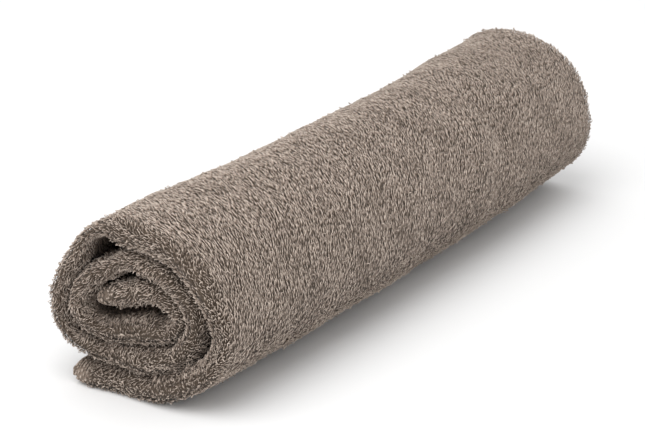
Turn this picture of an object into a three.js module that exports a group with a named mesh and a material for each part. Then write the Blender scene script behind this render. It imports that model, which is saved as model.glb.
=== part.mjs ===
// A hand towel of plain terry cloth, folded in three along its length and then rolled up.
// Millimetres, +Z up. The roll lies along X on z = 0, and its free flap lies under it, towards +Y.
import * as THREE from "three";

// Driving dimensions: the roll over its fold edges, the length of a facet round the winding, and
// the facets round each of the cloth's two rounded tips.
const ROLL_LENGTH = 346;
const WINDING_STEP = 5.4;
const TIP_STEPS = 4;

// The far end's turns are set back a little less than the near end's.
const FAR_SETBACK = 0.8;

// The folded cloth ends in a plump rounded edge at both ends of the roll. The rounding reaches
// this far in from the edge, and is cut off in a narrow strip where it starts.
const EDGE_REACH = 6.5;
const EDGE_ANGLES = [16, 40, 64, 90];

// The cloth's path round the roll, from the free flap underneath to the end in the middle: a row
// for each bend or run, with where the middle of the folded cloth lies, how thick it is there,
// and how far its fold edge is set back from the roll's end.
const WINDING = [
  { run: "flap, free edge", y: 28, z: 5.5, thick: 11.2, back: 1.5 },
  { run: "flap, flat underneath", y: 12, z: 5.3, thick: 11.2, back: 0.5 },
  { run: "flap, under the middle", y: -2, z: 5.7, thick: 11.8, back: 0 },
  { run: "outer turn, rising", y: -14.5, z: 7.5, thick: 12.8, back: 0 },
  { run: "outer turn, lower right", y: -28.5, z: 14.8, thick: 11.4, back: 0.5 },
  { run: "outer turn, right", y: -39, z: 24.5, thick: 9.8, back: 1 },
  { run: "outer turn, widest", y: -42.8, z: 38, thick: 8.8, back: 1.5 },
  { run: "outer turn, upper right", y: -39, z: 52, thick: 9.8, back: 1 },
  { run: "outer turn, shoulder", y: -32, z: 62.2, thick: 11.2, back: 0.5 },
  { run: "outer turn, near the top", y: -21, z: 69.4, thick: 12.2, back: 0 },
  { run: "outer turn, top right", y: -8.5, z: 73.3, thick: 13.2, back: 0 },
  { run: "outer turn, top", y: 4, z: 74.4, thick: 13.2, back: 0.5 },
  { run: "outer turn, over the hollow", y: 15.5, z: 75, thick: 6.4, back: 2 },
  { run: "outer turn, pinched corner", y: 24.4, z: 70.1, thick: 4.4, back: 2 },
  { run: "outer turn, upper left", y: 31.7, z: 59.1, thick: 7, back: 1 },
  { run: "outer turn, left", y: 38.5, z: 45.4, thick: 8.6, back: 0.5 },
  { run: "outer turn, lower left", y: 40.4, z: 31.3, thick: 8.4, back: 0.5 },
  { run: "second turn, over the flap", y: 33.8, z: 20.6, thick: 9.2, back: 1 },
  { run: "second turn, lower left", y: 20, z: 16.8, thick: 9.6, back: 1.5 },
  { run: "second turn, bottom", y: 4, z: 17.9, thick: 10, back: 1.5 },
  { run: "second turn, lower middle", y: -9.5, z: 19.3, thick: 10, back: 1.5 },
  { run: "second turn, lower right", y: -21.2, z: 22, thick: 9.8, back: 1.5 },
  { run: "second turn, rising", y: -26.6, z: 30, thick: 9.2, back: 2 },
  { run: "second turn, right", y: -29.8, z: 40.4, thick: 8.2, back: 2.5 },
  { run: "second turn, upper right", y: -27.4, z: 50.2, thick: 8.8, back: 2 },
  { run: "second turn, shoulder", y: -18.8, z: 56.6, thick: 9.8, back: 1.5 },
  { run: "second turn, top", y: -8, z: 60.6, thick: 9.6, back: 2 },
  { run: "second turn, over the nose", y: 3.6, z: 62.8, thick: 7.4, back: 2.5 },
  { run: "second turn, falling", y: 14, z: 56.4, thick: 8.8, back: 2.5 },
  { run: "second turn, upper left", y: 23.6, z: 50.4, thick: 9, back: 2.5 },
  { run: "second turn, left", y: 29.8, z: 41.4, thick: 9.2, back: 2 },
  { run: "inner run, turning under", y: 28.6, z: 31.6, thick: 8.8, back: 2 },
  { run: "inner run, start", y: 18, z: 27.2, thick: 9.6, back: 2.5 },
  { run: "inner run, middle", y: 5, z: 29.8, thick: 13.4, back: 3 },
  { run: "inner run, end", y: -7, z: 31.4, thick: 13, back: 3.5 },
  { run: "hairpin, in", y: -17.2, z: 32.6, thick: 9.8, back: 4 },
  { run: "hairpin, squeezed", y: -23, z: 39.4, thick: 5.4, back: 4 },
  { run: "hairpin, out", y: -17, z: 46.2, thick: 9.6, back: 4 },
  { run: "inner end, start", y: -6, z: 48.8, thick: 11, back: 4 },
  { run: "inner end, middle", y: 5.5, z: 45.4, thick: 11.8, back: 4 },
  { run: "inner end, nose", y: 15.6, z: 42.6, thick: 11, back: 4.5 },
];

// The roll's unevenness: a row for each section along its length, starting at the -X end, with how
// full the roll is there, how far it lies aside towards -Y, because the roll is slightly bowed,
// and how much it leans to the side for each millimetre of height.
const SECTIONS = [
  { along: 0, full: 0.995, aside: -3.3, lean: 0 },
  { along: 0.12, full: 1, aside: -1.5, lean: 0.004 },
  { along: 0.26, full: 0.994, aside: 0.7, lean: -0.004 },
  { along: 0.4, full: 0.988, aside: 1.7, lean: 0.004 },
  { along: 0.54, full: 0.99, aside: 1.9, lean: 0.006 },
  { along: 0.68, full: 0.994, aside: 1.7, lean: -0.003 },
  { along: 0.82, full: 1.002, aside: 0.3, lean: 0.004 },
  { along: 0.92, full: 1.006, aside: -1.5, lean: -0.004 },
  { along: 1, full: 1.01, aside: -4.1, lean: -0.01 },
];

const radians = THREE.MathUtils.degToRad;

// The winding as one smooth curve: its points hold y, z and thickness, and its setback runs
// along beside it.
const windingCurve = new THREE.CatmullRomCurve3(
  WINDING.map((row) => new THREE.Vector3(row.y, row.z, row.thick)),
);
const setbackCurve = new THREE.CatmullRomCurve3(
  WINDING.map((row) => new THREE.Vector3(row.y, row.z, row.back)),
);

// The stations along the winding, each with its middle, its unit vector towards the outside of
// the turn, its thickness and its setback.
function windingStations() {
  const count = Math.round(windingCurve.getLength() / WINDING_STEP);
  const stations = [];
  for (let i = 0; i <= count; i += 1) {
    const t = windingCurve.getUtoTmapping(i / count);
    const middle = windingCurve.getPoint(t);
    const ahead = windingCurve.getTangent(t);
    const outward = new THREE.Vector2(-ahead.y, ahead.x).normalize();
    stations.push({
      middle: new THREE.Vector2(middle.x, middle.y),
      outward,
      thick: middle.z,
      back: setbackCurve.getPoint(t).z,
    });
  }
  return stations;
}

// A value of the SECTIONS table at any place along the roll, between its rows.
function sectionValue(key, along) {
  const last = SECTIONS.length - 1;
  let i = 0;
  while (i < last - 1 && along > SECTIONS[i + 1].along) {
    i += 1;
  }
  const span = SECTIONS[i + 1].along - SECTIONS[i].along;
  const part = THREE.MathUtils.clamp((along - SECTIONS[i].along) / span, 0, 1);
  return THREE.MathUtils.lerp(SECTIONS[i][key], SECTIONS[i + 1][key], part);
}

// The cuts across the roll, from one end to the other: how far each lies in from its end, the
// end it is measured from, and what share of its thickness the cloth has there.
function cutsAlong() {
  const first = radians(EDGE_ANGLES[0]);
  const edge = EDGE_ANGLES.map((angle) => ({
    inset: EDGE_REACH * (Math.cos(first) - Math.cos(radians(angle))),
    share: Math.sin(radians(angle)),
  }));
  const middle = SECTIONS.slice(1, -1).map((section) => ({
    along: section.along,
    share: 1,
  }));
  return [
    ...edge.map((cut) => ({ ...cut, end: -1 })),
    ...middle,
    ...edge.reverse().map((cut) => ({ ...cut, end: 1 })),
  ];
}

// Where a station lies along X at one cut. The fold edges are set back by different amounts.
function placeAlong(station, cut) {
  if (cut.along !== undefined) {
    return (cut.along - 0.5) * ROLL_LENGTH;
  }
  const setback = cut.end < 0 ? station.back : station.back * FAR_SETBACK;
  return cut.end * (ROLL_LENGTH / 2 - setback - cut.inset);
}

// One point of the cloth's surface, moved with the roll's unevenness and kept off the floor.
function surfacePoint(x, flat) {
  const along = x / ROLL_LENGTH + 0.5;
  const full = sectionValue("full", along);
  const y = flat.x * full - sectionValue("aside", along) + flat.y * sectionValue("lean", along);
  return new THREE.Vector3(x, y, Math.max(flat.y * full, 0));
}

// The loop of points round the cloth at one cut: along its outside, round the inner end, back
// along its inside and round the flap's free edge.
function clothLoop(stations, cut) {
  const loop = [];
  const add = (station, side, reach) => {
    const half = (station.thick / 2) * cut.share;
    const ahead = new THREE.Vector2(station.outward.y, -station.outward.x);
    const flat = station.middle
      .clone()
      .addScaledVector(station.outward, half * side)
      .addScaledVector(ahead, half * reach);
    loop.push(surfacePoint(placeAlong(station, cut), flat));
  };
  const first = stations[0];
  const last = stations[stations.length - 1];
  stations.forEach((station) => add(station, 1, 0));
  for (let i = 1; i < TIP_STEPS; i += 1) {
    const angle = (Math.PI * i) / TIP_STEPS;
    add(last, Math.cos(angle), Math.sin(angle));
  }
  stations
    .slice()
    .reverse()
    .forEach((station) => add(station, -1, 0));
  for (let i = 1; i < TIP_STEPS; i += 1) {
    const angle = (Math.PI * i) / TIP_STEPS;
    add(first, -Math.cos(angle), -Math.sin(angle));
  }
  return loop;
}

// The narrow strip that closes one end, as triangles across the loop, whose points pair up from
// the tip of the inner end to the tip of the flap. The near strip faces -X and the far one +X.
function closingStrip(loopSize, stationCount, start, facesFar) {
  const triangles = [];
  const tip = stationCount - 1 + TIP_STEPS / 2;
  const pairs = loopSize / 2;
  const at = (offset) => start + ((tip + offset + loopSize) % loopSize);
  const push = (a, b, c) => triangles.push(...(facesFar ? [a, b, c] : [a, c, b]));
  push(at(0), at(-1), at(1));
  for (let i = 1; i < pairs - 1; i += 1) {
    push(at(i), at(-i), at(i + 1));
    push(at(i + 1), at(-i), at(-i - 1));
  }
  push(at(pairs - 1), at(1 - pairs), at(pairs));
  return triangles;
}

// The whole roll as one closed skin: the loops in turn, joined by triangles, and an end strip
// on each.
function rolledCloth() {
  const stations = windingStations();
  const loops = cutsAlong().map((cut) => clothLoop(stations, cut));
  const size = loops[0].length;
  const triangles = [];
  for (let j = 0; j < loops.length - 1; j += 1) {
    for (let i = 0; i < size; i += 1) {
      const a = j * size + i;
      const b = j * size + ((i + 1) % size);
      triangles.push(a, a + size, b, b, a + size, b + size);
    }
  }
  triangles.push(...closingStrip(size, stations.length, 0, false));
  triangles.push(...closingStrip(size, stations.length, (loops.length - 1) * size, true));
  const skin = new THREE.BufferGeometry().setFromPoints(loops.flat());
  skin.setIndex(triangles);
  skin.computeVertexNormals();
  return skin;
}

const terry = new THREE.MeshStandardMaterial({
  color: new THREE.Color("#82766d"),
  roughness: 0.95,
  metalness: 0,
});

const towel = new THREE.Mesh(rolledCloth(), terry);
towel.name = "towel";

const roll = new THREE.Group();
roll.add(towel);

export default roll;
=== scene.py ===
import math

import bmesh
import bpy
import numpy as np
from mathutils import Matrix, Vector
from mathutils.bvhtree import BVHTree


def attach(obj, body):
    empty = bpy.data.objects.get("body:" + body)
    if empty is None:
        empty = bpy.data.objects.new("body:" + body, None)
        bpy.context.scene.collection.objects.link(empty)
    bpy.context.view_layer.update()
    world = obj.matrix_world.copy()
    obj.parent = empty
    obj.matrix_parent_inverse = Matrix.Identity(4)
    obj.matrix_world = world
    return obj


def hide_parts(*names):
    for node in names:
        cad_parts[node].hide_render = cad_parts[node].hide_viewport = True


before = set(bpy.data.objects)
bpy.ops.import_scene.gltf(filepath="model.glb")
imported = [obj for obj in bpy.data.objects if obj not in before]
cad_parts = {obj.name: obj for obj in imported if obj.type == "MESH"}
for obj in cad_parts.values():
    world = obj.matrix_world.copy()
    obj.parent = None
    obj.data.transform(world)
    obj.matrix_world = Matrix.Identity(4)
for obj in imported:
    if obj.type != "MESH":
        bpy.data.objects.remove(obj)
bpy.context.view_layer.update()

# Camera
# A long lens about a metre away, some 20 degrees above the table, looks along the roll from its
# near end. It aims a little below and to the left of the middle, as the photograph is framed.
VIEW_TURN = math.radians(-58.35)
VIEW_DROP = math.radians(19.8)
VIEW_DISTANCE = 1.1438
VIEW_MIDDLE = Vector((0, 0.0033, 0.0405))
FRAME_WIDTH = 645
LENS_PIXELS = 2400
AIM_LEFT, AIM_DOWN = 22.01, 22.89
SENSOR_WIDTH = 36

ahead = Vector((-math.sin(VIEW_TURN), math.cos(VIEW_TURN), 0)) * math.cos(VIEW_DROP)
ahead.z = -math.sin(VIEW_DROP)
right = Vector((math.cos(VIEW_TURN), math.sin(VIEW_TURN), 0))
above = right.cross(ahead)
aim = (ahead - right * AIM_LEFT / LENS_PIXELS - above * AIM_DOWN / LENS_PIXELS).normalized()
level = (right - aim * right.dot(aim)).normalized()

camera_data = bpy.data.cameras.new("camera")
camera_data.sensor_width = SENSOR_WIDTH
camera_data.lens = LENS_PIXELS / FRAME_WIDTH * SENSOR_WIDTH
camera = bpy.data.objects.new("camera", camera_data)
camera.matrix_world = Matrix.Translation(VIEW_MIDDLE - ahead * VIEW_DISTANCE) @ Matrix(
    (level, level.cross(aim), -aim)
).transposed().to_4x4()
bpy.context.collection.objects.link(camera)
bpy.context.scene.camera = camera

# Towel cloth
# One length of cotton terry, 500 x 1000 mm, folded in three along its length and rolled up from
# a nose in the middle to a flap that lies underneath. This is the woven ground between the piles.
MM = 0.001
ROLL_LENGTH = 346

# The middle of the folded cloth on its way round the roll, from the flap inwards, in mm: where
# it lies, how thick the three layers are there, and how far their folds are set back.
WINDING = np.array([
    # y, z, thick, back
    (28, 5.5, 11.2, 1.5),  # flap, free edge
    (12, 5.3, 11.2, 0.5),  # flap, flat underneath
    (-2, 5.7, 11.8, 0),  # flap, under the middle
    (-14.5, 7.5, 12.8, 0),  # outer turn, rising
    (-28.5, 14.8, 11.4, 0.5),  # outer turn, lower right
    (-39, 24.5, 9.8, 1),  # outer turn, right
    (-42.8, 38, 8.8, 1.5),  # outer turn, widest
    (-39, 52, 9.8, 1),  # outer turn, upper right
    (-32, 62.2, 11.2, 0.5),  # outer turn, shoulder
    (-21, 69.4, 12.2, 0),  # outer turn, near the top
    (-8.5, 73.3, 13.2, 0),  # outer turn, top right
    (4, 74.4, 13.2, 0.5),  # outer turn, top
    (15.5, 75, 6.4, 2),  # outer turn, over the hollow
    (24.4, 70.1, 4.8, 2),  # outer turn, pinched corner
    (31, 58.8, 9, 1),  # outer turn, upper left
    (38.3, 45.4, 9, 0.5),  # outer turn, left
    (40.4, 31.3, 8.4, 0.5),  # outer turn, lower left
    (33.8, 20.6, 9.2, 1),  # second turn, over the flap
    (20, 16.8, 9.6, 1.5),  # second turn, lower left
    (4, 17.9, 10, 1.5),  # second turn, bottom
    (-9.5, 19.3, 10, 1.5),  # second turn, lower middle
    (-21.2, 22, 9.8, 1.5),  # second turn, lower right
    (-26.6, 30, 9.2, 2),  # second turn, rising
    (-29.8, 40.4, 8.2, 2.5),  # second turn, right
    (-27.4, 50.2, 8.8, 2),  # second turn, upper right
    (-18.8, 56.6, 9.8, 1.5),  # second turn, shoulder
    (-8, 60.6, 9.6, 2),  # second turn, top
    (3.6, 62.8, 7.4, 2.5),  # second turn, over the nose
    (14, 56.4, 8.8, 2.5),  # second turn, falling
    (23.8, 50.6, 10, 2.5),  # second turn, upper left
    (29.8, 41.4, 9.2, 2),  # second turn, left
    (28.6, 31.6, 8.8, 2),  # inner run, turning under
    (18, 27.2, 9.6, 2.5),  # inner run, start
    (5, 29.8, 13.4, 3),  # inner run, middle
    (-7, 31.4, 13, 3.5),  # inner run, end
    (-17.2, 32.6, 9.8, 4),  # hairpin, in
    (-23, 39.4, 5.4, 4),  # hairpin, squeezed
    (-17, 46.2, 9.6, 4),  # hairpin, out
    (-6, 48.8, 11, 4),  # inner end, start
    (5.5, 45.4, 11.8, 4),  # inner end, middle
    (15.6, 42.6, 11, 4.5),  # inner end, nose
])
FAR_SETBACK = 0.8

# The roll's unevenness along its length: how full it is, how far it lies aside and how it leans.
SECTIONS = np.array([
    # along, full, aside, lean
    (0, 0.995, -3.3, 0),
    (0.12, 1, -1.5, 0.004),
    (0.26, 0.994, 0.7, -0.004),
    (0.4, 0.988, 1.7, 0.004),
    (0.54, 0.99, 1.9, 0.006),
    (0.68, 0.994, 1.7, -0.003),
    (0.82, 1.002, 0.3, 0.004),
    (0.92, 1.006, -1.5, -0.004),
    (1, 1.01, -4.1, -0.01),
])

# Where the ground lies within the folded cloth, as shares of its thickness: the outer layers'
# way out from the middle, and how thick one layer of ground is. The profile along the towel is
# drawn for cloth of the plain thickness, in mm.
LAYER_OUT = 0.3
LAYER_THICK = 0.18
PLAIN_THICK = 10.5

# Soft dents and ridges in the outer turn, in mm: where along the roll and round the winding,
# how deep, how wide along the roll, how long round it, and how much they slant.
CREASES = np.array([
    # x, round, rise, wide, long, slant
    (50, 104, 0.9, 8, 26, 0.3),  # ridge of the soft fold
    (68, 106, -1.5, 9, 28, 0.35),  # dip beside it
    (20, 90, -0.7, 15, 16, 0.1),  # low place on the right
    (-90, 86, -0.6, 11, 18, -0.1),
    (-137, 94, -0.7, 10, 20, 0.1),
    (96, 134, 0.6, 12, 20, -0.2),
    (-40, 132, -0.5, 16, 14, 0.3),
    (110, 205, -0.8, 13, 26, 0.2),
    (-20, 200, -0.7, 14, 22, -0.3),
])


def smoothed(rows, measured):
    """Many rows on one smooth curve through the given ones, paced by their first columns."""
    rows = np.vstack([2 * rows[0] - rows[1], rows, 2 * rows[-1] - rows[-2]])
    before, start, end, after = rows[:-3], rows[1:-2], rows[2:-1], rows[3:]

    def pace(a, b):
        return np.sqrt(np.linalg.norm((b - a)[:, :measured], axis=1, keepdims=True))

    lead, span, trail = pace(before, start), pace(start, end), pace(end, after)
    leaving = (start - before) / lead - (end - before) / (lead + span) + (end - start) / span
    arriving = (end - start) / span - (after - start) / (span + trail) + (after - end) / trail
    leaving, arriving = (slope[:, None] for slope in (leaving * span, arriving * span))
    start, end = start[:, None], end[:, None]
    t = np.linspace(0, 1, 24, endpoint=False)[None, :, None]
    bend = 3 * (end - start) - 2 * leaving - arriving
    twist = 2 * (start - end) + leaving + arriving
    found = start + leaving * t + bend * t**2 + twist * t**3
    return np.vstack([found.reshape(-1, rows.shape[1]), rows[-2]])


def distances(points):
    """How far along a path each of its points is."""
    return np.concatenate([[0], np.cumsum(np.linalg.norm(np.diff(points, axis=0), axis=1))])


def fold(start, reach, out_from, out_to):
    """Rows round a fold that bends back on itself: place along the roll, and share outwards."""
    turn = np.radians(np.arange(0, 181, 22.5))
    out = (out_from + out_to) / 2 + (out_from - out_to) / 2 * np.cos(turn)
    return list(zip(start + reach * np.sin(turn), out))


def waves(seed, shortest, longest, count, ways=(0, 2 * np.pi)):
    """A smooth uneven surface over the cloth, about 1 high, from a few crossing waves."""
    chance = np.random.default_rng(seed)
    way = chance.uniform(*ways, count)
    number = 2 * np.pi / chance.uniform(shortest, longest, count)
    phase = chance.uniform(0, 2 * np.pi, count)

    def height(a, b):
        return sum(
            np.sin(n * (a * np.cos(d) + b * np.sin(d)) + f) for n, d, f in zip(number, way, phase)
        ) * np.sqrt(2 / count)

    return height


# The way round the roll, and the way along the towel's length: from its hem inside the near
# fold, over the far fold and back over the near one, to the other hem inside the roll.
path = smoothed(WINDING, 3)
path_run = distances(path[:, :2])
path_ahead = np.gradient(path[:, :2], path_run, axis=0)
path_ahead /= np.linalg.norm(path_ahead, axis=1, keepdims=True)
WINDING_END = path_run[-1]
sections = smoothed(SECTIONS, 1)

NEAR_BEND, FAR_BEND = -165.6, 166.4
PROFILE = np.array(
    [(-162, 0), (-150, 0), (-60, 0), (60, 0), (150, 0), (160, -0.14)]
    + fold(FAR_BEND, 4, -0.34, 1)
    + [(154, 1), (60, 1), (-60, 1), (-154, 1)]
    + fold(NEAR_BEND, -5, 1, -1)
    + [(-154, -1), (-60, -1), (60, -1), (150, -1), (164, -1)]
)
profile = smoothed(PROFILE * [1, LAYER_OUT * PLAIN_THICK], 2)
profile_run = distances(profile)
CLOTH_LENGTH = profile_run[-1]
far_fold = profile_run[np.argmax(profile[:, 0])]
near_fold = profile_run[np.argmin(profile[:, 0])]

# Where round the winding the outer turn tucks in over the flap, and how much of the flap stays
# open to the side.
TUCKED_IN = 236
FLAP_OPEN = 12

# How the cloth strays from the smooth winding, in mm: the whole surface swells and ripples, the
# folds stand in and out of line, and the selvedges wave.
SWELL, RIPPLE, FRAY = 0.3, 0.1, 0.9
EDGE_WAVE, EDGE_WAVE_PACE = 1.4, 61
swell = waves(11, 22, 60, 9)
ripple = waves(12, 9, 20, 9)
fray = waves(13, 24, 50, 5)

# The folds at the roll's ends, as shares: flatter than the cloth between them, unevenly plump,
# and, on the inner turns, a little out of their path, in mm.
FOLD_NARROWED, FOLD_UNEVEN, FOLD_WANDER = 0.1, 0.2, 0.45
puff = waves(14, 10, 32, 8)
wander = waves(15, 13, 34, 8)

# The selvedges, in mm: how far the layers close round beyond the winding's two ends, how far the
# cloth itself reaches there, and how far its corners are drawn in. They are plump just before.
TIP_REACH = 5.2
CLOTH_BEYOND = 4.7
CORNER_DRAWN_IN = 3
TIP_PLUMP = 0.26

# The lowest that the middle of the ground lies over the table.
SOLE = 1


def winding_at(w):
    """The folded cloth at a distance round the winding: middle, way ahead, thickness, setback."""
    inside = np.clip(w, 0, WINDING_END)
    y, z, thick, back = (np.interp(inside, path_run, path[:, i]) for i in range(4))
    ahead_y, ahead_z = (np.interp(inside, path_run, path_ahead[:, i]) for i in range(2))
    size = np.hypot(ahead_y, ahead_z)
    return y, z, thick, back, ahead_y / size, ahead_z / size


def at_end(x):
    """1 at either end of the roll, and falling away inwards."""
    return np.exp(-(((ROLL_LENGTH / 2 - np.abs(x)) / 12) ** 2))


def tip_closing(w, x):
    """How far the layers close on each other at the selvedges, most of all at the folds."""
    beyond = np.maximum(-w, w - WINDING_END).clip(0, TIP_REACH * 0.94) / TIP_REACH
    held = 0.6 + 0.4 * at_end(x)
    return 1 - held * (1 - np.sqrt(1 - beyond**2))


def crease(x, w):
    """The height of the listed dents and ridges."""
    high = np.zeros(np.broadcast(x, w).shape)
    for middle, turned, rise, wide, long, slant in CREASES:
        off = (x - middle - slant * (w - turned)) / wide
        high = high + rise * np.exp(-(off**2) - ((w - turned) / long) ** 2)
    return high


def edge_wave(w, p):
    """How far the two selvedges wave in and out on their way along the towel."""
    at_edge = np.exp(-np.minimum(np.abs(w + 4), np.abs(w - WINDING_END - 4)) / 12)
    return EDGE_WAVE * np.sin(p / EDGE_WAVE_PACE + 0.8) * at_edge


def lift_at(w, x, out, thick, closing):
    """How far the ground stands out from the middle of the folded cloth."""
    plump = 1 + TIP_PLUMP * np.clip(1 - np.minimum(w, WINDING_END - w) / 6, 0, 1)
    outside = np.clip((w - 6) / 12, 0, 1) * np.clip((TUCKED_IN - w) / 16, 0, 1) * (out > 0)
    narrowed = 1 - FOLD_NARROWED * at_end(x) * (1 - outside)
    uneven = 1 + FOLD_UNEVEN * puff(w, 30 * out) * at_end(x) * (1 - outside)
    inner = np.clip((w - TUCKED_IN) / 20, 0, 1)
    lift = out * thick * closing * plump * narrowed * uneven
    lift = lift + SWELL * swell(w, x) + RIPPLE * ripple(w, x + 9 * out) + crease(x, w)
    return lift + FOLD_WANDER * wander(w, 0) * at_end(x) * inner


def place(w, p):
    """Where the middle of the ground lies, in mm: w round the winding, p along the towel."""
    x = np.interp(p, profile_run, profile[:, 0])
    out = np.interp(p, profile_run, profile[:, 1]) / PLAIN_THICK
    w = w + edge_wave(w, p)
    y, z, thick, back, ahead_y, ahead_z = winding_at(w)
    back = back + FRAY * fray(w, out * 40)
    along = x / ROLL_LENGTH + 0.5
    closing = tip_closing(w, x)
    x = x + back * (1 - along - FAR_SETBACK * along)
    x = x - CORNER_DRAWN_IN * (1 - closing) * np.sign(x) * at_end(x)
    lift = lift_at(w, x, out, thick, closing)
    beyond = w - np.clip(w, 0, WINDING_END)
    y = y + ahead_y * beyond - ahead_z * lift
    z = z + ahead_z * beyond + ahead_y * lift
    full, aside, lean = (np.interp(along, sections[:, 0], sections[:, i]) for i in (1, 2, 3))
    return np.stack([x, y * full - aside + z * lean, np.maximum(z * full, SOLE)], -1)


def buried(w, p):
    """How deep in the roll's gaps a place lies, from 0 where it shows to 1 well inside, for
    painted shade.
    """
    inside = (w > TUCKED_IN) | (w > FLAP_OPEN) & ((p < far_fold) | (p > near_fold))
    depth = np.minimum(np.abs(p - near_fold), np.abs(p - far_fold)) - 4
    return inside * np.clip(depth / 7, 0, 1)


def spaced(length, spacing):
    """Distances along a length, as far apart as spacing says at each place."""
    fine = np.linspace(*length, 6000)
    passed = np.cumsum(1 / spacing(fine)) * (fine[1] - fine[0])
    return np.interp(np.linspace(passed[0], passed[-1], round(passed[-1])), passed, fine)


def spacing_round(w):
    """How wide the ground's facets are round the winding, finest at the selvedges."""
    from_edge = np.minimum(w + CLOTH_BEYOND, WINDING_END + CLOTH_BEYOND - w)
    return np.clip(0.25 * from_edge, 0.7, 3.2)


def spacing_along(p):
    """How long the ground's facets are along the towel, finest round its two folds."""
    from_fold = np.minimum(np.abs(p - far_fold), np.abs(p - near_fold))
    outer_layer = (p > far_fold) & (p < near_fold)
    return np.clip(0.3 * (from_fold - 5), 1.1, np.where(outer_layer, 8, 22))


stations = spaced((-CLOTH_BEYOND, WINDING_END + CLOTH_BEYOND), spacing_round)
rows = spaced((0, CLOTH_LENGTH), spacing_along)

grid = bmesh.new()
bmesh.ops.create_grid(grid, x_segments=len(stations) - 1, y_segments=len(rows) - 1, size=1)
cloth_mesh = bpy.data.meshes.new("towel_cloth")
grid.to_mesh(cloth_mesh)
grid.free()

corners = np.empty(len(cloth_mesh.vertices) * 3)
cloth_mesh.vertices.foreach_get("co", corners)
corners = corners.reshape(-1, 3)
w_index = np.rint((corners[:, 0] + 1) / 2 * (len(stations) - 1)).astype(int)
p_index = np.rint((corners[:, 1] + 1) / 2 * (len(rows) - 1)).astype(int)
corner_w, corner_p = stations[w_index], rows[p_index]
placed = place(corner_w, corner_p)
cloth_mesh.vertices.foreach_set("co", (placed * MM).ravel())

# What the ground's material reads: its place on the flat cloth, how deep in the roll's gaps it
# lies, for the painted shade there, and whether it is in the bare woven strip at a selvedge. The
# nose's strip lies in shadow, so it is given painted shade.
BARE_STRIP = 3.5
NOSE_LIT_UNDER_PAINTED_SHADE = 0.35
weave_map = cloth_mesh.uv_layers.new(name="weave")
of_corner = np.empty(len(cloth_mesh.loops), int)
cloth_mesh.loops.foreach_get("vertex_index", of_corner)
weave_map.uv.foreach_set("vector", np.stack([corner_w, corner_p], 1)[of_corner].ravel() * MM)
painted_gap_shade = cloth_mesh.attributes.new("painted_gap_shade", "FLOAT", "POINT")
painted_gap_shade.data.foreach_set("value", buried(corner_w, corner_p))
# The bare strips get the lighter woven colour; the nose's strip gets only part of it, the rest
# being painted shade.
bare_and_painted_shade = cloth_mesh.attributes.new("bare_and_painted_shade", "FLOAT", "POINT")
at_flap = corner_w < BARE_STRIP
at_nose = corner_w > WINDING_END - BARE_STRIP
bare_and_painted_shade.data.foreach_set("value", at_flap + NOSE_LIT_UNDER_PAINTED_SHADE * at_nose)
cloth_mesh.shade_smooth()

cloth = bpy.data.objects.new("towel_cloth", cloth_mesh)
bpy.context.collection.objects.link(cloth)


def ground_thickness(w):
    """How thick one layer of the ground is, in mm. It thins to a firm edge at the selvedges."""
    thick = winding_at(w)[2]
    closing = tip_closing(w, -ROLL_LENGTH / 2)
    return LAYER_THICK * thick * (0.35 + 0.65 * closing)


# Each row of the ground has its own share of the greatest thickness.
THICKEST = LAYER_THICK * WINDING[:, 2].max() * 1.02
share_group = cloth.vertex_groups.new(name="thickness")
for i, share in enumerate(ground_thickness(stations) / THICKEST):
    share_group.add(np.flatnonzero(w_index == i).tolist(), float(share), "REPLACE")
thicken = cloth.modifiers.new("thickness", "SOLIDIFY")
thicken.thickness = THICKEST * MM
thicken.offset = 0
thicken.vertex_group = "thickness"

# Cotton is matt, with a soft sheen from its loose fibres.
SHEEN = 0.25


def node(tree, kind, **settings):
    """A new shader node with its settings and socket values."""
    made = tree.nodes.new(kind)
    for key, value in settings.items():
        if hasattr(made, key):
            setattr(made, key, value)
        else:
            made.inputs[key].default_value = value
    return made


def fill_ramp(ramp, stops):
    """Sets a colour ramp's stops."""
    elements = ramp.color_ramp.elements
    while len(elements) < len(stops):
        elements.new(0.5)
    for element, (position, colour) in zip(elements, stops):
        element.position = position
        element.color = (*colour, 1)


def cotton(name):
    """A matt cotton material with a soft sheen, its shader and its tree."""
    material = bpy.data.materials.new(name)
    material.use_nodes = True
    tree = material.node_tree
    shader = tree.nodes["Principled BSDF"]
    shader.inputs["Roughness"].default_value = 0.92
    shader.inputs["Specular IOR Level"].default_value = 0.15
    shader.inputs["Sheen Weight"].default_value = SHEEN
    shader.inputs["Sheen Roughness"].default_value = 0.5
    shader.inputs["Sheen Tint"].default_value = (0.9, 0.85, 0.8, 1)
    return material, tree, shader


# The ground has the dye of the whole towel, painted far darker as painted shade, since hardly any
# light comes down to it between the loops, and painted one even gap shade deep in the gaps, where
# none comes. The bare strips at its selvedges are lighter.
GROUND_PAINTED_SHADE_DARK, GROUND_PAINTED_SHADE_LIGHT = (0.045, 0.032, 0.023), (0.12, 0.09, 0.067)
WOVEN_EDGE = (0.24, 0.187, 0.15)
GAP_SHADE = (0.075, 0.045, 0.029)
WEAVE_COUNT = (380, 820, 1)

ground, tree, shader = cotton("terry_ground")
weave = node(tree, "ShaderNodeUVMap", uv_map="weave")
stretch = node(tree, "ShaderNodeMapping")
stretch.inputs["Scale"].default_value = WEAVE_COUNT
tree.links.new(weave.outputs[0], stretch.inputs["Vector"])
tufts = node(tree, "ShaderNodeTexNoise", Scale=1.0, Detail=3.0, Roughness=0.6, Distortion=0.4)
tree.links.new(stretch.outputs[0], tufts.inputs["Vector"])
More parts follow.
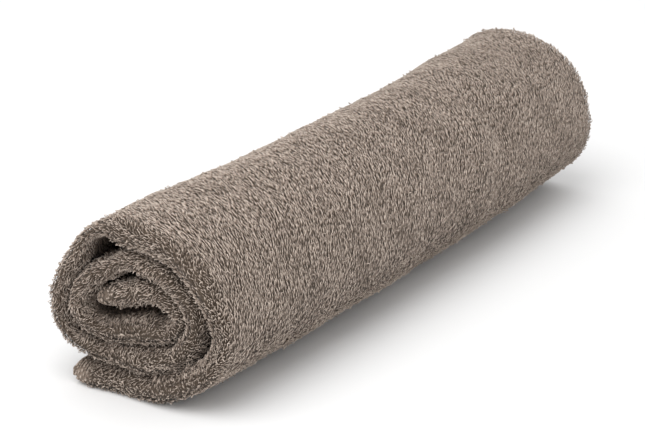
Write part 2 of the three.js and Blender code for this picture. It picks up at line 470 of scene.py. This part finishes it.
# Painted shade: the ground's colour runs between two dark shades, unevenly at random.
dye_and_painted_shade = node(tree, "ShaderNodeValToRGB")
fill_ramp(dye_and_painted_shade, [(0.3, GROUND_PAINTED_SHADE_DARK), (0.7, GROUND_PAINTED_SHADE_LIGHT)])
tree.links.new(tufts.outputs["Fac"], dye_and_painted_shade.inputs[0])
# The bare strips' lighter woven colour, with painted shade on the nose's strip.
edge = node(tree, "ShaderNodeAttribute", attribute_name="bare_and_painted_shade")
woven = node(tree, "ShaderNodeMix", data_type="RGBA")
woven.inputs["B"].default_value = (*WOVEN_EDGE, 1)
tree.links.new(edge.outputs["Fac"], woven.inputs["Factor"])
tree.links.new(dye_and_painted_shade.outputs[0], woven.inputs["A"])
# Painted shade: deep in the roll's gaps the ground's colour is mixed towards the gap shade.
painted_gap_depth = node(tree, "ShaderNodeAttribute", attribute_name="painted_gap_shade")
painted_gap_darkened = node(tree, "ShaderNodeMix", data_type="RGBA")
painted_gap_darkened.inputs["B"].default_value = (*GAP_SHADE, 1)
tree.links.new(painted_gap_depth.outputs["Fac"], painted_gap_darkened.inputs["Factor"])
tree.links.new(woven.outputs["Result"], painted_gap_darkened.inputs["A"])
tree.links.new(painted_gap_darkened.outputs["Result"], shader.inputs["Base Color"])
relief = node(tree, "ShaderNodeBump", Strength=0.9, Distance=0.0008)
tree.links.new(tufts.outputs["Fac"], relief.inputs["Height"])
tree.links.new(relief.outputs[0], shader.inputs["Normal"])


def finish_piece(piece, material):
    """Gives a piece its material, and sets it in the model instead of the plain roll."""
    piece.data.materials.append(material)
    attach(piece, "root")
    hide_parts("towel")


finish_piece(cloth, ground)

# Pile
# Uncut loops of soft twisted cotton yarn stand on both faces of the ground. On the rolled towel
# they lie combed over each other round the roll, and curl freely on the plump folds at its ends.
SEED = 5
draw = np.random.default_rng(SEED)

# The thickness of the yarn on the body, and the usual length of a loop there, in mm.
YARN = 0.37
BODY_ARC = 3.9

# Which way the loops lie on the body and on the folds at the ends, at distances round the
# winding: the turn, in radians, from straight up the roll's right side towards the far end.
LIES = np.array([
    # round, body, ends
    (0, 0, -0.8),
    (30, 0, -0.8),
    (60, -0.3, -0.9),
    (76, -0.3, -0.3),
    (88, 0.05, -0.1),
    (100, 0.28, -0.05),
    (112, 0.42, 0),
    (130, 0.45, 0),
    (146, 0.3, 0.1),
    (160, 0, 0.1),
    (218, 0, -0.1),
    (232, 0, -0.8),
    (258, 0, -1.2),
    (282, 0, -1),
    (298, 0, -0.4),
    (308, 0, -0.4),
    (320, 0, -1.2),
    (342, 0, -1.2),
    (356, 0, -0.5),
    (372, 0, 0.1),
    (388, 0, 0.2),
    (402, 0, -0.9),
    (434, 0, -1.2),
    (446, 0, -0.8),
    (460, 0, -1.3),
    (490, 0, -1.3),
])
combed = waves(21, 26, 70, 7)
swirl = waves(22, 9, 22, 9)

# How the pile is uneven in dye and in height: broad mottles and banks, fine furrows between locks
# of loops that lie along each other on the body, and clumps at the ends. Banks, furrows and clumps
# also set painted shade, darker in their low places. The furrows follow the loops' lie, so each
# step round the winding has its drift along the roll.
mottle = waves(23, 12, 60, 9)
bank = waves(24, 3.5, 9, 12)
furrow = waves(25, 1, 1.9, 16, (-1.82, -1.32))
clump = waves(26, 1.5, 3.4, 16)
FINE_ROUND = np.arange(0, TUCKED_IN + 5, 1.0)
drift = np.cumsum(np.tan(np.interp(FINE_ROUND, LIES[:, 0], LIES[:, 1])))


def face_frame(w, p):
    """The ground's outer face at each place, and there the ways round, along and outwards."""
    step = 0.4
    here = place(w, p)
    round_way = place(w + step, p) - place(w - step, p)
    along_way = place(w, p + step) - place(w, p - step)
    outward = np.cross(round_way, along_way)
    outward /= np.linalg.norm(outward, axis=1, keepdims=True) + 1e-12
    round_way /= np.linalg.norm(round_way, axis=1, keepdims=True) + 1e-12
    along_way = np.cross(outward, round_way)
    face = here + outward * ground_thickness(w)[:, None] / 2
    return face, round_way, along_way, outward


def spread(w_range, p_range, w_step, p_step, loose=0.42):
    """Places for loops in staggered rows, each moved a little at random."""
    w = np.arange(*w_range, w_step)
    p = np.arange(*p_range, p_step)
    w, p = np.meshgrid(w, p, indexing="ij")
    p = p + np.where(np.arange(len(w))[:, None] % 2, p_step / 2, 0)
    w = w + draw.uniform(-loose, loose, w.shape) * w_step
    p = p + draw.uniform(-loose, loose, p.shape) * p_step
    return w.ravel(), p.ravel()


# Painted light and shade: loops that stand out of the others are painted lighter, low ones and
# those deep in the roll's gaps darker.
MEAN_SHADE, DARKEST, LIGHTEST = 0.56, 0.2, 0.94
BY_DYE, PAINTED_SHADE_BY_RELIEF, BY_CHANCE, PAINTED_SHADE_BY_DEPTH = 0.04, 0.22, 0.09, 0.85


def shade_of(w, p, x, relief):
    """How light each loop's yarn is, from 0 to 1: uneven dye and random tone, painted light where
    it stands out of the others, and painted shade where it lies low or is buried in the roll's
    gaps."""
    shade = MEAN_SHADE + BY_DYE * mottle(w, x) + PAINTED_SHADE_BY_RELIEF * relief
    shade = shade + BY_CHANCE * draw.normal(size=len(w))
    return shade.clip(DARKEST, LIGHTEST) * (1 - PAINTED_SHADE_BY_DEPTH * buried(w, p))


# Each form of loop as the points of its yarn: how far along the loop, how far up and how far
# aside, in shares of its length, height and width, and how far out of the shade painted at its
# root.
TUFT = np.array([(0, 0.15, 0, 0), (0.55, 0.8, 0, 0.6), (1, 0.85, 0, 1)])
LOCK = np.array([(0, 0.1, 0, 0), (0.4, 0.65, 0.3, 0.4), (0.85, 1, -0.2, 0.8), (1, 0.8, 0, 1)])
CURL = np.array([
    (0, 0.1, 0, 0),
    (0.3, 0.6, 0.4, 0.3),
    (0.65, 0.95, 0.1, 0.6),
    (0.92, 1.1, -0.4, 0.85),
    (0.98, 0.6, -0.2, 1),
])
LOOP = np.array([
    (0, 0, -0.4, 0),
    (0.5, 0.75, -0.5, 0.5),
    (0.95, 1.05, -0.3, 0.9),
    (1, 1.05, 0.3, 1),
    (0.5, 0.75, 0.5, 0.5),
    (0.05, 0, 0.4, 0),
])
FORMS = ((TUFT, 0.2), (LOCK, 0.3), (CURL, 0.6), (LOOP, 0.95))


def yarns(form, face, forward, outward, length, height, width):
    """The yarn of each loop as points: a form laid out along forward, outward and aside."""
    aside = np.cross(outward, forward)
    count = len(face)
    a, b, c = (np.broadcast_to(form[:, i], (count, len(form))).copy() for i in range(3))
    inner = slice(1, -1)
    a[:, inner] += draw.normal(0, 0.05, a[:, inner].shape)
    b[:, inner] += draw.normal(0, 0.1, b[:, inner].shape)
    c[:, inner] += draw.normal(0, 0.14, c[:, inner].shape)
    points = (
        face[:, None]
        + (a * length[:, None])[..., None] * forward[:, None]
        + (b * height[:, None])[..., None] * outward[:, None]
        + (c * width[:, None])[..., None] * aside[:, None]
    )
    return points, aside


# The yarn's one taupe dye, spread by random tone and by painted light and shade from loops deep in
# the pile to loops that stand out of it, and the shade painted towards a loop's root, as a share
# of that. Its two plies are twisted together.
DEEP_PAINTED_SHADE, DARK = (0.07, 0.044, 0.029), (0.18, 0.134, 0.102)
TAUPE, LIGHT = (0.445, 0.363, 0.303), (0.69, 0.58, 0.495)
ROOT_PAINTED_SHADE, LOWER_YARN_PAINTED_SHADE, OPEN_YARN = (0.05, 0.034, 0.024), (0.36, 0.3, 0.26), (1, 1, 1)

yarn, tree, shader = cotton("terry_yarn")
shade_map = node(tree, "ShaderNodeUVMap", uv_map="OFBake")
parts = node(tree, "ShaderNodeSeparateXYZ")
tree.links.new(shade_map.outputs[0], parts.inputs[0])
dye_and_painted_shade = node(tree, "ShaderNodeValToRGB")
fill_ramp(dye_and_painted_shade, [(0, DEEP_PAINTED_SHADE), (0.2, DARK), (0.55, TAUPE), (1, LIGHT)])
tree.links.new(parts.outputs["Y"], dye_and_painted_shade.inputs[0])
# Painted shade: each loop's yarn is painted darker towards its root.
root = node(tree, "ShaderNodeValToRGB")
fill_ramp(root, [(0, ROOT_PAINTED_SHADE), (0.3, LOWER_YARN_PAINTED_SHADE), (0.65, OPEN_YARN), (1, OPEN_YARN)])
tree.links.new(parts.outputs["X"], root.inputs[0])
mixed = node(tree, "ShaderNodeMix", data_type="RGBA", blend_type="MULTIPLY")
mixed.inputs["Factor"].default_value = 1
tree.links.new(dye_and_painted_shade.outputs[0], mixed.inputs["A"])
tree.links.new(root.outputs[0], mixed.inputs["B"])
tree.links.new(mixed.outputs["Result"], shader.inputs["Base Color"])
twist_map = node(tree, "ShaderNodeUVMap", uv_map="twist")
plies = node(tree, "ShaderNodeTexWave", bands_direction="DIAGONAL", Scale=0.9, Distortion=0.6)
tree.links.new(twist_map.outputs[0], plies.inputs["Vector"])
relief = node(tree, "ShaderNodeBump", Strength=0.5, Distance=0.00015)
tree.links.new(plies.outputs["Fac"], relief.inputs["Height"])
tree.links.new(relief.outputs[0], shader.inputs["Normal"])

# How much lighter a loop gets on the way round its yarn, from 0 to 1.
ROUND_SHADE = 0.04


def yarn_faces(spots):
    """The faces of three-sided yarn through this many points, and for each face's corners how far
    along the yarn and how far around it they are."""
    faces, along, around = [], [], []
    sides = ((0, 1), (1, 2), (2, 0))
    last = 3 * (spots - 2) + 1
    for k, n in sides:
        faces.append((0, 1 + n, 1 + k))
        along.append((0, 1, 1))
        around.append((k + 0.5, k + 1, k))
    for ring in range(spots - 3):
        a, b = 1 + 3 * ring, 4 + 3 * ring
        for k, n in sides:
            faces.append((a + k, a + n, b + n, b + k))
            along.append((ring + 1, ring + 1, ring + 2, ring + 2))
            around.append((k, k + 1, k + 1, k))
    for k, n in sides:
        faces.append((last - 3 + k, last - 3 + n, last))
        along.append((spots - 2, spots - 2, spots - 1))
        around.append((k, k + 1, k + 0.5))
    return faces, along, around


def tube(points, upright, thick, fade, shade):
    """Three-sided yarn round each row of points, with its two ends drawn to a point."""
    count, spots = points.shape[:2]
    run = np.gradient(points, axis=1)[:, 1:-1]
    side = np.cross(run, upright[:, None])
    side /= np.linalg.norm(side, axis=2, keepdims=True) + 1e-12
    rise = np.cross(side, run)
    rise /= np.linalg.norm(rise, axis=2, keepdims=True) + 1e-12
    turn = np.radians([90, 210, 330])
    ring = np.cos(turn)[:, None] * side[:, :, None] + np.sin(turn)[:, None] * rise[:, :, None]
    rings = points[:, 1:-1, None] + ring * (thick / 2)[:, None, None, None]
    rings = rings.reshape(count, -1, 3)
    corners = np.concatenate([points[:, :1], rings, points[:, -1:]], axis=1)
    return corners, *yarn_faces(spots), fade, shade


def joined(groups):
    """All the loops in the groups as one: their corners' places, the corners that each face takes
    in turn, each face's number of them, and there the maps of shade and twist."""
    places, taken, sizes, shade_map, twist_map = [], [], [], [], []
    start = 0
    for corners, faces, along, around, fade, shade in groups:
        count, each = corners.shape[:2]
        places.append(corners.reshape(-1, 3))
        first = start + each * np.arange(count)[:, None]
        taken.append((first + np.concatenate(faces)).ravel())
        sizes.append(np.tile([len(face) for face in faces], count))
        along = np.concatenate(along)
        v = np.concatenate(around) / 3
        shade_v = shade[:, None] + ROUND_SHADE * v
        shade_u = np.broadcast_to(fade[along], shade_v.shape)
        shade_map.append(np.stack([shade_u, shade_v], -1).reshape(-1, 2))
        twist = np.broadcast_to(np.stack([along, v], -1), (count, len(v), 2))
        twist_map.append(twist.reshape(-1, 2))
        start += count * each
    return [np.concatenate(values) for values in (places, taken, sizes, shade_map, twist_map)]


def yarn_piece(name, groups):
    """One piece of yarn with all the loops in the groups. None goes down into the table."""
    places, taken, sizes, shade_map, twist_map = joined(groups)
    places[:, 2] = np.maximum(places[:, 2], 0)
    mesh = bpy.data.meshes.new(name)
    mesh.vertices.add(len(places))
    mesh.vertices.foreach_set("co", (places * MM).ravel())
    mesh.loops.add(len(taken))
    mesh.loops.foreach_set("vertex_index", taken.astype(np.int32))
    mesh.polygons.add(len(sizes))
    mesh.polygons.foreach_set("loop_start", (np.cumsum(sizes) - sizes).astype(np.int32))
    for label, values in (("OFBake", shade_map), ("twist", twist_map)):
        layer = mesh.uv_layers.new(name=label)
        layer.uv.foreach_set("vector", values.astype(np.float32).ravel())
    mesh.update(calc_edges=True)
    mesh.shade_smooth()
    piece = bpy.data.objects.new(name, mesh)
    bpy.context.collection.objects.link(piece)
    finish_piece(piece, yarn)
    return piece


def pile(w, p, lie, length, height, relief, thick, kinds, strays=0.01):
    """The loops at these places: lie is the way they are combed, relief how far they stand out of
    the others, kinds the shares that show as tufts, locks and curls, the rest being open loops,
    and strays the share that stand."""
    face, round_way, along_way, outward = face_frame(w, p)
    forward = np.cos(lie)[:, None] * round_way - np.sin(lie)[:, None] * along_way
    shade = shade_of(w, p, face[:, 0], relief)
    kind = np.searchsorted(np.cumsum(kinds), draw.random(len(w)))
    stray = draw.random(len(w)) < strays
    kind[stray] = 3
    lifted = np.where(stray, draw.uniform(0.5, 1.2, len(w)), 0)[:, None]
    forward, outward = (
        forward * np.cos(lifted) + outward * np.sin(lifted),
        outward * np.cos(lifted) - forward * np.sin(lifted),
    )
    length = np.where(stray, draw.uniform(1.2, 1.9, len(w)), length)
    start = face - forward * np.where(stray, 0, length / 2)[:, None]
    made = []
    for i, (form, wide) in enumerate(FORMS):
        at = kind == i
        wide = wide * draw.uniform(0.8, 1.25, at.sum())
        sizes = (length[at], height[at], wide)
        points, aside = yarns(form, start[at], forward[at], outward[at], *sizes)
        upright = outward[at] if form is LOOP else aside
        made.append(tube(points, upright, thick[at], form[:, 3], shade[at]))
    return made


# A loop shows if one way out from it is clear for this far. Deeper in from a fold than this, it
# also needs this much room in front of it, all in mm.
CLEAR_WAY = 60
PRESSED_FROM, PRESSED_GAP = 9.5, 3.4
depsgraph = bpy.context.evaluated_depsgraph_get()
cloth_tree = BVHTree.FromObject(cloth, depsgraph)


def shows(w, p, ways):
    """Which places on the cloth's face have a way out: one of the given ways is clear, and the
    next turn doesn't press on the pile there, unless the place is right at the roll's end."""
    face, _, _, outward = face_frame(w, p)
    deep = np.minimum(np.abs(p - near_fold), np.abs(p - far_fold)) > PRESSED_FROM
    ways = [Vector(way).normalized() for way in ways]
    found = np.zeros(len(w), bool)
    for i, (start, way_out) in enumerate(zip((face + outward * 0.9) * MM, outward)):
        start = Vector(start)
        if deep[i] and cloth_tree.ray_cast(start, Vector(way_out), PRESSED_GAP * MM)[0]:
            continue
        found[i] = any(cloth_tree.ray_cast(start, way, CLEAR_WAY * MM)[0] is None for way in ways)
    return found


# The body: from the flap's flat underside up the right side, over the top and down the left to
# where the outer turn tucks in over the flap. It is pressed flat and thin underneath. The loops'
# cover of the ground is a share of the folded cloth's thickness. From the seam on, where the roll
# turns under, only the loops that can be seen from the side are made.
BODY_FROM = 4
BODY_ALONG = (far_fold + 4, near_fold - 6)
SEAM_FROM = 208
COVER = 0.11
BODY_KINDS = (0.84, 0.11, 0.035)
BODY_PIECES = 5
w, p = spread((BODY_FROM, TUCKED_IN), BODY_ALONG, 1.42, 0.58)
fullness = np.interp(w, [8, 14, 40, 52, 165, 185], [1, 0.1, 0.1, 1, 1, 0.72])
fullness = fullness * np.interp(p, [near_fold - 250, near_fold - 60], [0.84, 1])
keep = draw.random(len(w)) < fullness
side_ways = [(0, 1, 0.15), (0, 0.8, 0.6), (0, 0.9, -0.4), (0.5, 0.8, 0), (-0.5, 0.8, 0)]
turned_under = w > SEAM_FROM
keep[turned_under] &= shows(w[turned_under], p[turned_under], side_ways)
w, p = w[keep], p[keep]
x = place(w, p)[:, 0]
count = len(w)
lie = np.interp(w, LIES[:, 0], LIES[:, 1]) * np.interp(x, [-170, -30], [0.1, 1])
lie = lie + 0.09 * combed(w, x) + 0.07 * swirl(w, x) + draw.normal(0, 0.07, count)
length = BODY_ARC * draw.uniform(0.7, 1.2, count)
cover = COVER * winding_at(w)[2]
rough = np.interp(x, [-160, 0, 160], [1.65, 1.25, 0.32]) * np.interp(w, [85, 105], [1.2, 1])
along_furrows = x - np.interp(w, FINE_ROUND, drift)
relief = 0.03 * bank(w, x) + 0.38 * furrow(w, along_furrows) + draw.normal(0, 0.5, count)
relief = rough * relief
height = cover * (1 + 0.45 * relief).clip(0.2, 1.7)
thick = YARN * draw.uniform(0.8, 1.2, count)
order = np.argsort(x, kind="stable")
for i, at in enumerate(np.array_split(order, BODY_PIECES)):
    values = (value[at] for value in (w, p, lie, length, height, relief, thick))
    yarn_piece(f"pile_body_{i + 1}", pile(*values, BODY_KINDS))


# Where the loops start next to the bare strip, and how far they go to either side of a fold, in
# mm, and how many of them stand.
PILE_FROM = 3.6
FOLD_SIDE = 24
END_STRAYS = 0.04


def end_pile(name, fold_at, ways, w_step, p_step, kinds, yarn_thick, parts=1):
    """The loops over the fold that closes one end of the roll, and on what shows in its gaps."""
    w_range, p_range = (PILE_FROM, WINDING_END - 1.5), (fold_at - FOLD_SIDE, fold_at + FOLD_SIDE)
    w, p = spread(w_range, p_range, w_step, p_step)
    on_body = (w > BODY_FROM) & (w < TUCKED_IN - 6) & (p > BODY_ALONG[0]) & (p < BODY_ALONG[1])
    w, p = w[~on_body], p[~on_body]
    seen = shows(w, p, ways)
    w, p = w[seen], p[seen]
    count = len(w)
    lie = np.interp(w, LIES[:, 0], LIES[:, 2])
    lie = lie + 0.2 * combed(w, p) + 0.3 * swirl(w, p) + draw.normal(0, 0.28, count)
    length = draw.uniform(1.6, 2.6, count)
    relief = 0.25 * clump(w, p) + draw.normal(0, 0.8, count)
    height = (1.25 * (1 + 0.35 * relief)).clip(0.4, 2.2)
    thick = yarn_thick * draw.uniform(0.8, 1.2, count)
    for i, at in enumerate(np.array_split(np.arange(count), parts)):
        values = (value[at] for value in (w, p, lie, length, height, relief, thick))
        yarn_piece(f"{name}_{i + 1}", pile(*values, kinds, END_STRAYS))


# The near end is the plump fold that closes the roll's whole winding towards the camera. The far
# end is a fold of two layers, with the inner hem set back behind it. Each is seen in these ways.
far_ways = [
    (1, 0, 0.2),
    (0.8, -0.5, 0.3),
    (0.8, 0.5, 0.3),
    (0.6, 0, 0.8),
    (0.5, -0.8, 0),
    (0.5, 0.8, 0),
]
near_ways = [(-a, b, c) for a, b, c in far_ways]
near_kinds, far_kinds = (0.25, 0.35, 0.3), (0.7, 0.22, 0.06)
near_yarn, far_yarn = 0.39, 0.54
end_pile("pile_near_end", near_fold, near_ways, 1.08, 0.64, near_kinds, near_yarn, parts=2)
end_pile("pile_far_end", far_fold, far_ways, 1.2, 0.72, far_kinds, far_yarn)

# The flap's upper face, as far in as it shows between the flap and the roll above it.
FLAP_ARC = 3.4
FLAP_KINDS = (0.6, 0.3, 0.1)
w, p = spread((PILE_FROM, FLAP_OPEN), (near_fold + FOLD_SIDE, CLOTH_LENGTH - 22), 1.8, 1)
plain = np.ones(len(w))
lie = 0.2 * swirl(w, p)
relief = draw.normal(0, 0.6, len(w))
height = plain + 0.3 * relief
loops = pile(w, p, lie, FLAP_ARC * plain, height, relief, YARN * plain, FLAP_KINDS)
yarn_piece("pile_flap", loops)

# Selvedges
# The towel's two side edges are woven firm and flat without loops, in narrow ribs that run along
# the edge, each a row of short grains of yarn. They show on the flap's rounded edge all along the
# roll, and on the nose in the middle only at the roll's ends.
RIB_PITCH, NOSE_RIB_PITCH = 1.3, 1
GRAIN, GRAIN_HIGH, GRAIN_WIDE, GRAIN_THICK = 1.8, 0.4, 0.3, 1.1
GRAIN_FORM = np.array([(0, -0.5, 0, 0.3), (0.25, 1, 0, 0.7), (0.75, 1, 0, 0.8), (1, -0.5, 0, 0.4)])
RIB_SIDE = 20
# Painted shade on the low grains, darker on the nose, which lies in shadow.
FLAP_RIB_PAINTED_SHADE, NOSE_RIB_PAINTED_SHADE = -0.3, -1.6


def ribs(pitch, p_range, count):
    """Places for the grains of the ribs next to a selvedge: how far beyond the winding's end, or
    short of it where this is less than 0, and how far along the towel."""
    p = np.arange(*p_range, GRAIN)
    rib, p = np.meshgrid(np.arange(count), p, indexing="ij")
    p = p + np.where(rib % 2, GRAIN / 2, 0) + draw.uniform(-0.15, 0.15, p.shape)
    round_tip = np.radians(70) - pitch * rib / TIP_REACH
    beyond = np.where(round_tip > 0, TIP_REACH * np.sin(round_tip), TIP_REACH * round_tip)
    return beyond.ravel(), p.ravel()


ends = [(fold_at - RIB_SIDE, fold_at + RIB_SIDE) for fold_at in (near_fold, far_fold)]
between = (far_fold + RIB_SIDE, near_fold - RIB_SIDE)
inside = (near_fold + RIB_SIDE, CLOTH_LENGTH)
grain_w, grain_p = [], []
for p_range in (*ends, between, inside):
    beyond, p = ribs(RIB_PITCH, p_range, 8)
    grain_w.append(-beyond)
    grain_p.append(p)
for p_range in ends:
    beyond, p = ribs(NOSE_RIB_PITCH, p_range, 6)
    grain_w.append(WINDING_END + beyond)
    grain_p.append(p)
w, p = np.concatenate(grain_w), np.concatenate(grain_p)
face, round_way, along_way, outward = face_frame(w, p)
plain = np.ones(len(w))
start = face - along_way * GRAIN / 2
sizes = (1.2 * GRAIN * plain, GRAIN_HIGH * plain, GRAIN_WIDE * plain)
points, aside = yarns(GRAIN_FORM, start, along_way, outward, *sizes)
# The grains' relief only sets their painted shade.
relief = np.where(w < TUCKED_IN, FLAP_RIB_PAINTED_SHADE, NOSE_RIB_PAINTED_SHADE)
shade = shade_of(w, p, face[:, 0], relief)
grains = tube(points, aside, GRAIN_THICK * plain, GRAIN_FORM[:, 3], shade)
yarn_piece("selvedge_ribs", [grains])

# Table and light
# A plain pale table, lit by one large soft lamp above and by pale walls all round.
bpy.ops.mesh.primitive_plane_add(size=12)
table = bpy.context.object
table.name = "table"
table_white = bpy.data.materials.new("table_white")
table_white.use_nodes = True
table_shader = table_white.node_tree.nodes["Principled BSDF"]
table_shader.inputs["Base Color"].default_value = (0.78, 0.78, 0.78, 1)
table_shader.inputs["Roughness"].default_value = 0.8
table.data.materials.append(table_white)

world = bpy.data.worlds.new("walls")
world.use_nodes = True
world.node_tree.nodes["Background"].inputs["Color"].default_value = (1, 1, 1, 1)
world.node_tree.nodes["Background"].inputs["Strength"].default_value = 1.06
bpy.context.scene.world = world
bpy.context.scene.view_settings.view_transform = "Standard"

lamp_data = bpy.data.lights.new("lamp", "AREA")
lamp_data.shape = "DISK"
lamp_data.size = 1.3
lamp_data.energy = 11
lamp = bpy.data.objects.new("lamp", lamp_data)
lamp.location = (-0.65, 0, 1.2)
lamp.rotation_euler = (Vector((0, 0, 0.04)) - lamp.location).to_track_quat("-Z", "Y").to_euler()
bpy.context.collection.objects.link(lamp)
